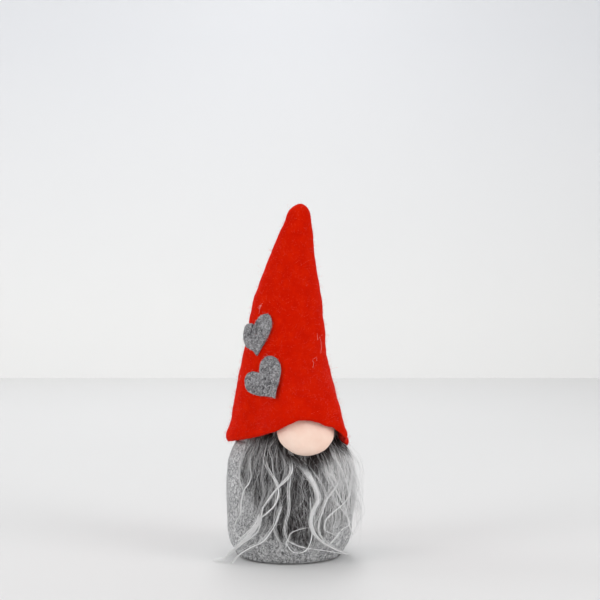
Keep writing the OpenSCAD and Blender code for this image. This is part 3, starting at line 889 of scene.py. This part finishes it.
def fuzz(name, source, count, length, thick, seed, slot, material, lay):
    """Short fibres that stand off a felt surface at random. The nearer lay is to 1, the flatter they lie."""
    random = rng(seed)
    me = source.data
    me.calc_loop_triangles()
    tri = np.empty(len(me.loop_triangles) * 3, np.int32)
    me.loop_triangles.foreach_get("vertices", tri)
    tri = tri.reshape(-1, 3)
    co, out = coordinates(source), normals(source)
    a, b, c = co[tri[:, 0]], co[tri[:, 1]], co[tri[:, 2]]
    area = np.linalg.norm(np.cross(b - a, c - a), axis=1)
    pick = random.choice(len(tri), count, p=area / area.sum())
    u, v = random.random((count, 1)), random.random((count, 1))
    flip = u + v > 1
    u, v = np.where(flip, 1 - u, u), np.where(flip, 1 - v, v)
    root = a[pick] + u * (b[pick] - a[pick]) + v * (c[pick] - a[pick])
    up = out[tri[pick, 0]]
    flat = np.cross(up, random.normal(0, 1, (count, 3)))
    flat /= np.maximum(np.linalg.norm(flat, axis=1, keepdims=True), 1e-9)
    bend = np.cross(up, flat)
    points = 4
    t = np.linspace(0, 1, points)[None, :, None]
    far = random.gamma(2.2, length / 2.2, (count, 1, 1)) * MM
    curl = random.normal(0, 0.5, (count, 1, 1))
    rise = (1 - lay) * random.uniform(0.2, 1.6, (count, 1, 1))
    paths = (root[:, None] + far * (t * lay * flat[:, None] + rise * np.sin(t * 2.2) * up[:, None]
                                    + curl * t**2 * bend[:, None]))
    paths[:, :, 2] = np.maximum(paths[:, :, 2], 0.1 * MM)
    radii = thick * MM * (1 - 0.5 * t[0, :, 0]) * np.ones((count, 1))
    tubes(name, paths, radii, np.zeros((count, points - 1)), slot, [material])


# ---------------------------------------------------------------- small pieces


def on_surface(tree, angle, z):
    """Point and outward normal of a surface at an angle and a height, or near it where there is none."""
    a = math.radians(angle)
    way = Vector((math.sin(a), -math.cos(a), 0))
    for up in (0, 0.3, 0.6, 1, 1.5, 2, 3, -1, -2, -4):
        start = Vector((0, 0, (z + up) * MM)) + way * 0.1
        hit = tree.ray_cast(start, -way)
        if hit[0]:
            return hit[0], hit[1]
    raise ValueError(f"nothing to sew at {angle}, {z}")


def stitches(name, ends, slot, material, node, thick=0.3):
    """Short stitches of two-ply thread, sunk at both ends. ends holds pairs of (point, normal)."""
    points = 9
    t = np.linspace(0, 1, points)
    paths = []
    for (p, n0), (q, n1) in ends:
        line = np.outer(1 - t, p) + np.outer(t, q)
        rise = np.outer((np.sin(math.pi * t) * 1.3 - 0.55) * thick * MM, (n0 + n1).normalized())
        base = line + rise
        for ply in (0, math.pi):
            side = (q - p).cross(n0 + n1).normalized()
            spin = np.outer(np.cos(7 * t + ply) * 0.45 * thick * MM, side)
            spin += np.outer(np.sin(7 * t + ply) * 0.45 * thick * MM, (n0 + n1).normalized())
            paths.append(base + spin)
    radii = np.full((len(paths), points), 0.55 * thick * MM)
    radii[:, 0] = radii[:, -1] = 0.3 * thick * MM
    tubes(name, paths, radii, np.zeros((len(paths), points - 1)), slot, [material], replaced=(node,))


def make_stitches(body, hat, hearts):
    grey = thread("grey_thread", (0.02, 0.02, 0.021), (0.09, 0.09, 0.093))
    red = thread("red_thread", (0.28, 0.006, 0.004), (0.48, 0.012, 0.008))
    body_tree, hat_tree = tree_of(body), tree_of(hat)

    def upright(tree, heights):
        return [(on_surface(tree, BEHIND, z), on_surface(tree, BEHIND, z + 3.2)) for z in heights]

    back = upright(body_tree, np.arange(6, 58, 5))
    stitches("back_seam_stitches", back, "grey_thread", grey, "body_seam_thread")
    random = rng(SEEDS["foot_stitches"])
    foot = []
    for a in np.arange(0, 360, 6) + random.uniform(-1.2, 1.2, 60):
        foot.append((on_surface(body_tree, a, random.uniform(0.8, 1.4)),
                     on_surface(body_tree, a + random.uniform(1, 4), random.uniform(2.2, 3.4))))
    stitches("foot_seam_stitches", foot, "grey_thread", grey, "base_seam_thread", 0.26)
    up_hat = upright(hat_tree, np.arange(65, 188, 5))
    stitches("hat_seam_stitches", up_hat, "red_thread", red, "hat_seam_thread")
    for node, heart in hearts.items():
        tree = tree_of(heart)
        count = {"heart_upper": 2, "heart_lower": 3}[node]
        made = []
        co = coordinates(NODES[node + "_stitches"]) / MM
        angle = angle_of(co)
        order = np.argsort(co[:, 2] + 0.05 * angle)
        for part in np.array_split(order, count):
            a, z = angle[part].mean(), co[part, 2].mean()
            made.append((on_surface(tree, a, z - 0.7), on_surface(tree, a + 0.8, z + 0.7)))
        stitches(node + "_thread", made, "grey_thread", grey, node + "_stitches", 0.34)


def make_strays(hat):
    """A few pale loose fibres that cling to the hat, as [angle, height, reach across, reach up, curl]."""
    tree = tree_of(hat)
    strays = [(-70, 141, 4, 2.5, 2), (-64, 139, -3, 3, 2), (-100, 118, 1.5, -12, 1.6), (-96, 106, 3, -6, 1.5),
              (30, 126, 6, -1, 2.5), (38, 124, 1, -7, 1.5), (17, 112, 5, 1.5, 2), (18, 112, -1, -3, 1),
              (-35, 92, 4, 2, 1.5), (140, 120, 5, 4, 2), (-150, 96, -4, 6, 2), (95, 100, 4, -5, 2)]
    random = rng(SEEDS["strays"])
    paths = []
    points = 16
    for angle, z, across, up, curl in strays:
        path = []
        phase = random.uniform(0, 6)
        for t in np.linspace(0, 1, points):
            bend = curl * (math.sin(phase + 5 * t) + 0.4 * math.sin(11 * t))
            hit, normal = on_surface(tree, angle + 2.2 * (across * t + bend * 0.5), z + up * t + 0.6 * bend)
            path.append(hit + normal * (0.25 + 0.5 * math.sin(3 * t + phase) ** 2) * MM)
        paths.append(path)
    tones = np.full((len(paths), points - 1), 6)
    tubes("hat_stray_fibres", paths, np.full((len(paths), points), 0.026 * MM), tones, "beard_hair", HAIR)


def dress_inner_nodes():
    """Materials of the CAD pieces that stay: those inside the figure."""
    card = plain("card", (0.42, 0.31, 0.2), (0.56, 0.44, 0.3), 0.8, 0.9)
    cotton = plain("cotton", (0.66, 0.63, 0.54), (0.8, 0.78, 0.7), 0.4, 0.9, 0.15, (1, 1, 2))
    fibre = plain("fibre", (0.78, 0.78, 0.78), (0.92, 0.92, 0.92), 1.2, 0.95, 0.8, (1, 2, 1))
    grains = plain("pellets", (0.7, 0.7, 0.66), (0.88, 0.88, 0.84), 1.6, 0.5, 1.0)
    glue = plain("glue", (0.72, 0.68, 0.55), (0.85, 0.82, 0.72), 1.0, 0.35)
    knit = plain("knit_backing", (0.3, 0.3, 0.3), (0.48, 0.48, 0.48), 0.5, 0.9, 0.2, (1, 1, 2))
    twine = thread("dark_thread", (0.05, 0.05, 0.052), (0.16, 0.16, 0.165))
    dressed = {"base_board": card, "weight_bag": cotton, "weight_pellets": grains, "body_stuffing": fibre,
               "hat_stuffing": fibre, "nose_filling": fibre, "body_gather_thread": twine,
               "nose_tie_thread": twine, "beard_glue": glue, "nose_glue": glue, "hat_glue": glue,
               "beard_backing": knit}
    for node, material in dressed.items():
        dress(NODES[node], material)


# ---------------------------------------------------------------- stage, lights and camera


def camera_ways():
    a = math.radians(CAMERA_TURN)
    return Vector((math.sin(a), -math.cos(a), 0)), Vector((math.cos(a), math.sin(a), 0))


def put_up(obj, where, look):
    """Adds a camera or lamp to the scene, turned to look along a way."""
    obj.location = where
    obj.rotation_mode = "QUATERNION"
    obj.rotation_quaternion = look.to_track_quat("-Z", "Y")
    bpy.context.scene.collection.objects.link(obj)


def make_camera():
    near, right = camera_ways()
    cam = bpy.data.objects.new("camera", bpy.data.cameras.new("camera"))
    cam.data.lens = CAMERA_LENS
    cam.data.sensor_width = 36
    pitch = math.radians(CAMERA_PITCH)
    look = -near * math.cos(pitch) - Vector((0, 0, math.sin(pitch)))
    put_up(cam, near * CAMERA_AWAY + right * CAMERA_SIDE + Vector((0, 0, CAMERA_HEIGHT)), look)
    bpy.context.scene.camera = cam


def stage_white(name, low, high, bottom, top, axis):
    """Matt white with faint clouds, from one colour at bottom to another at top along an axis."""
    n = Nodes(name)
    share = n.node("MapRange", Value=n.axes()[axis])
    share.inputs["From Min"].default_value, share.inputs["From Max"].default_value = bottom, top
    clouds = n.times(n.noise(0.01, 2), 0.06)
    colour = n.mix(n.plus(share.outputs["Result"], clouds), low, high)
    return n.finish(colour, 0.9, Specular_IOR_Level=0.1)


def make_stage():
    near, right = camera_ways()
    wide, high = 4.0, 3.0

    def sheet(name, corner, one, two, material):
        corners = [corner, corner + one, corner + one + two, corner + two]
        mesh_piece(name, corners, [[0, 1, 2, 3]], material, smooth=False)

    floor_start = -right * wide - near * WALL_AWAY
    sheet("floor", floor_start, right * 2 * wide, near * (WALL_AWAY + wide),
          stage_white("stage_floor", (0.74, 0.74, 0.737), (0.79, 0.79, 0.787), 500, 1200, "Y"))
    # The wall's colour darkens and cools towards its top: painted shade of the light falling off up the wall.
    sheet("wall", floor_start, Vector((0, 0, high)), right * 2 * wide,
          stage_white("stage_wall", (0.835, 0.835, 0.828), (0.75, 0.76, 0.783), 100, 520, "Z"))


def area_light(name, where, target, size, energy, colour, long=None):
    light = bpy.data.lights.new(name, "AREA")
    light.shape = "RECTANGLE" if long else "DISK"
    light.size = size
    light.size_y = long or size
    light.energy = energy
    light.color = colour
    obj = bpy.data.objects.new(name, light)
    obj.visible_camera = False
    put_up(obj, where, target - where)


def make_lights():
    """Long lamps behind and above, a broad one on each side of the camera and one for the wall."""
    near, right = camera_ways()
    up = Vector((0, 0, 1))
    middle = Vector((0, 0, 0.09))
    white = (1, 0.995, 0.99)
    area_light("back_light", -near * 0.75 + up * 1.1, middle, 0.3, 3.5, white, long=1.1)
    area_light("top_light", -near * 0.15 + up * 1.3, middle, 0.3, 2.4, white, long=1.1)
    area_light("left_light", near * 0.9 - right * 1.3 + up * 0.5, middle, 1.0, 9.4, white)
    area_light("right_light", near * 0.9 + right * 1.3 + up * 0.5, middle, 1.0, 12.1, white)
    area_light("wall_light", -near * 0.5 - right * 1.6 + up * 0.9, -near * WALL_AWAY + up * 0.3, 1.2, 5.6,
               (1, 1, 1))
    world = bpy.data.worlds.new("world")
    world.use_nodes = True
    back = world.node_tree.nodes["Background"]
    back.inputs["Color"].default_value = (0.985, 0.99, 1, 1)
    back.inputs["Strength"].default_value = 0.525
    bpy.context.scene.world = world
    bpy.context.scene.view_settings.view_transform = "Standard"


# ---------------------------------------------------------------- the figure

make_camera()
make_lights()
make_stage()
dress_inner_nodes()

body = make_body()
make_base()
make_nose()
hat = make_hat()
hat_tree = tree_of(hat)
upper = make_heart("heart_upper", "upper_heart_felt", hat_tree, [(-4, 0, 1.0, 1.2)],
                   [(0, 0, 40, 0, -0.6), (-8, 8, 5, 0, -1.8), (-9, 1, 6, -1.0, 0), (9, 5, 5, -1.0, 0),
                    (2, -9, 2.5, 1.5, 0), (-4, -9, 2.5, -1.5, 0), (-1, -13, 2.5, 0, 1.2)],
                   crease=(3.4, -1, 8, 1.0))
lower = make_heart("heart_lower", "lower_heart_felt", hat_tree,
                   [(0, -1, 1.0, 1.2), (4.2, -3, 1.0, 1.2), (0, -6, 0.9, 1.1)], [(7, -10, 3, 0, 0.6)])

make_undercoat(body)
clumps("beard_under", seed=32, count=190, each=9, thick=0.075, width=0.5, lift=1.6, length=(18, 55),
       swing=0.8, lighter=-0.7, blur=0.9, where=(0.32, 0.26, 0.42))
clumps("beard_middle", seed=33, count=170, each=7, thick=0.07, width=0.3, lift=2.6, length=(16, 50),
       swing=1.5, lighter=0.2, blur=1.4, where=(0.3, 0.2, 0.5))
clumps("beard_small_locks", seed=34, count=110, each=7, thick=0.07, width=0.26, lift=3.5, length=(20, 55),
       swing=2.3, lighter=2.4, blur=0.9, where=(0.24, 0.06, 0.7))
clumps("beard_single_hairs", seed=35, count=620, each=1, thick=0.06, width=0.5, lift=4.0, length=(16, 55),
       swing=3.0, lighter=2.8, blur=1.2, where=(0.3, 0.12, 0.58))
make_locks()
make_flyaways()

make_stitches(body, hat, {"heart_upper": upper, "heart_lower": lower})
make_strays(hat)
fuzz("hat_fuzz", hat, 13000, 1.5, thick=0.028, seed=71, slot="red_felt", material=RED_FUZZ, lay=0.45)
fuzz("body_fuzz", body, 7000, 1.2, thick=0.026, seed=72, slot="grey_felt", material=GREY_FUZZ, lay=0.65)
for name, heart, seed in (("upper_heart_fuzz", upper, 73), ("lower_heart_fuzz", lower, 74)):
    fuzz(name, heart, 1800, 0.7, thick=0.024, seed=seed, slot="heart_felt", material=GREY_FUZZ, lay=0.65)
